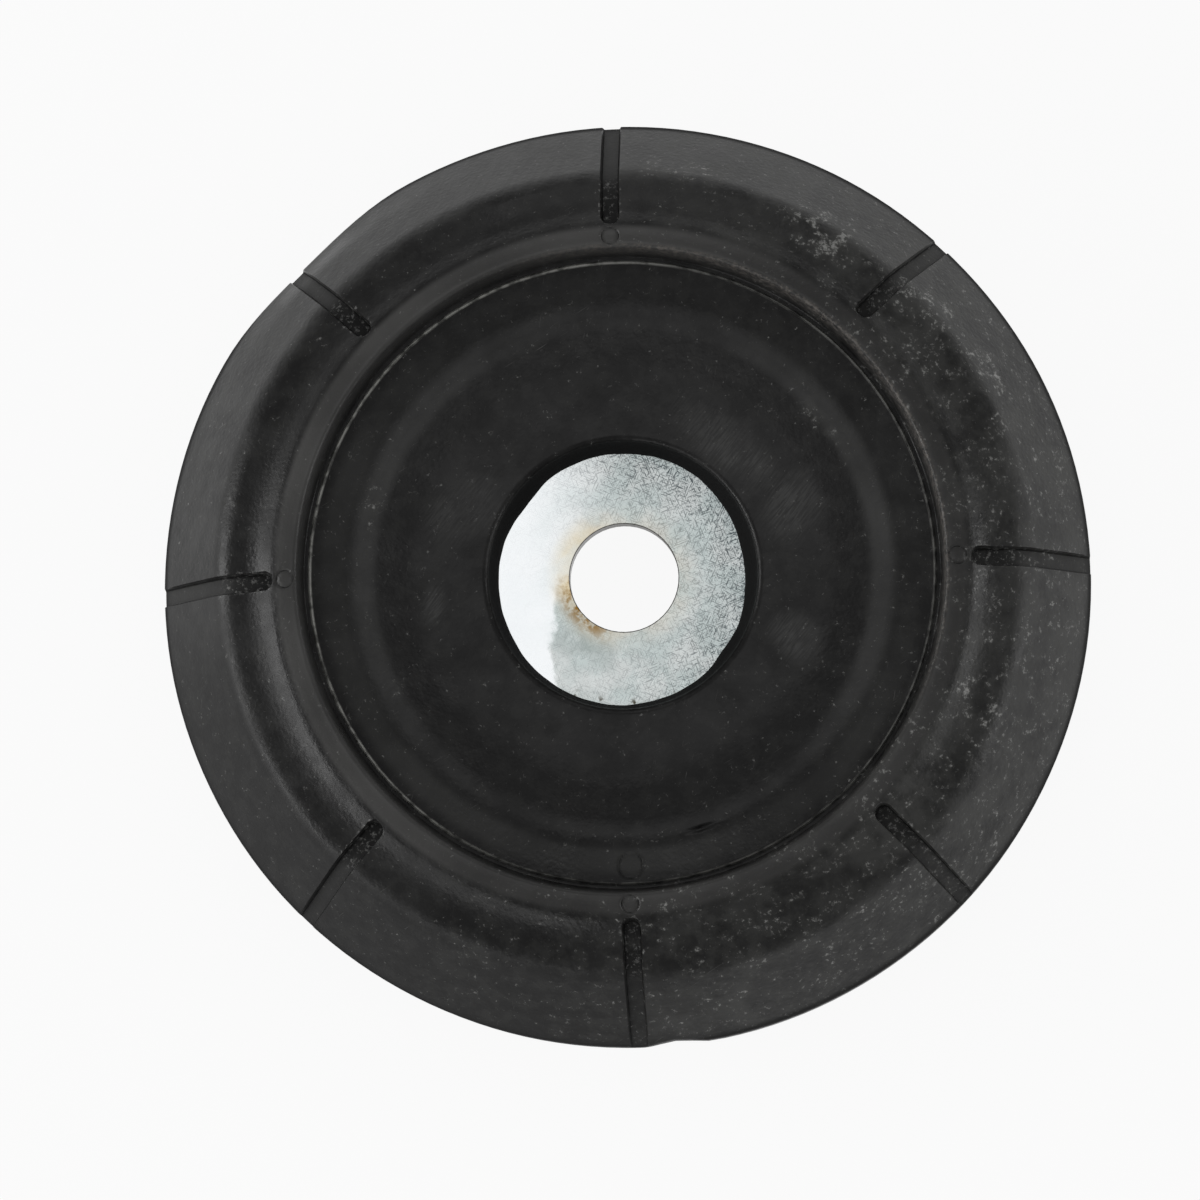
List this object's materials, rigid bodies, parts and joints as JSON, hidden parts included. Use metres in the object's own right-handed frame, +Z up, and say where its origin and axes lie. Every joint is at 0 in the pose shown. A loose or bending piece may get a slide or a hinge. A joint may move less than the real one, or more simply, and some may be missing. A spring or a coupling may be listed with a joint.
{
  "type": "strut mount",
  "caption": "Round rubber strut mount with a slotted shoulder, a dished top and a pressed steel plate, over a thrust ball bearing that lets the spring seat turn.",
  "frame": {"origin": "on the damper rod's axis, in the plane of the spring seat face, the lowest face of the part", "axes": "+Z up along the rod's axis, out of the dished top; -Y towards the single mark in the bowl; the slots start at +X"},
  "size_m": [0.12, 0.12, 0.0298],
  "materials": {
    "rubber": "moulded black rubber, semi-matt, with a grey bloom and scuffs",
    "zinc_plate": "bright zinc plate, scratched, with a little rust at the hole",
    "race_steel": "ground bearing steel with a film of oil",
    "ball_steel": "polished bearing steel",
    "cage_plastic": "natural nylon",
    "seal_rubber": "smooth black seal rubber"
  },
  "bodies": {
    "mount": {"rubber_body": "rubber", "centre_plate": "zinc_plate", "upper_race": "race_steel", "dust_seal": "seal_rubber", "inner_seal": "seal_rubber"},
    "ball_set": {"balls": "ball_steel", "ball_cage": "cage_plastic"},
    "spring_seat_race": {"lower_race": "race_steel"}
  },
  "joints": [
    {"name": "strut_turn", "type": "hinge", "parent": "mount", "child": "spring_seat_race", "pos_m": [0, 0, 0], "axis": [0, 0, 1], "continuous": true},
    {"name": "ball_set_turn", "type": "hinge", "parent": "mount", "child": "ball_set", "pos_m": [0, 0, 0.008], "axis": [0, 0, 1], "continuous": true}
  ],
  "couplings": [
    {"joint": "ball_set_turn", "follows": "strut_turn", "ratio": 0.5}
  ]
}
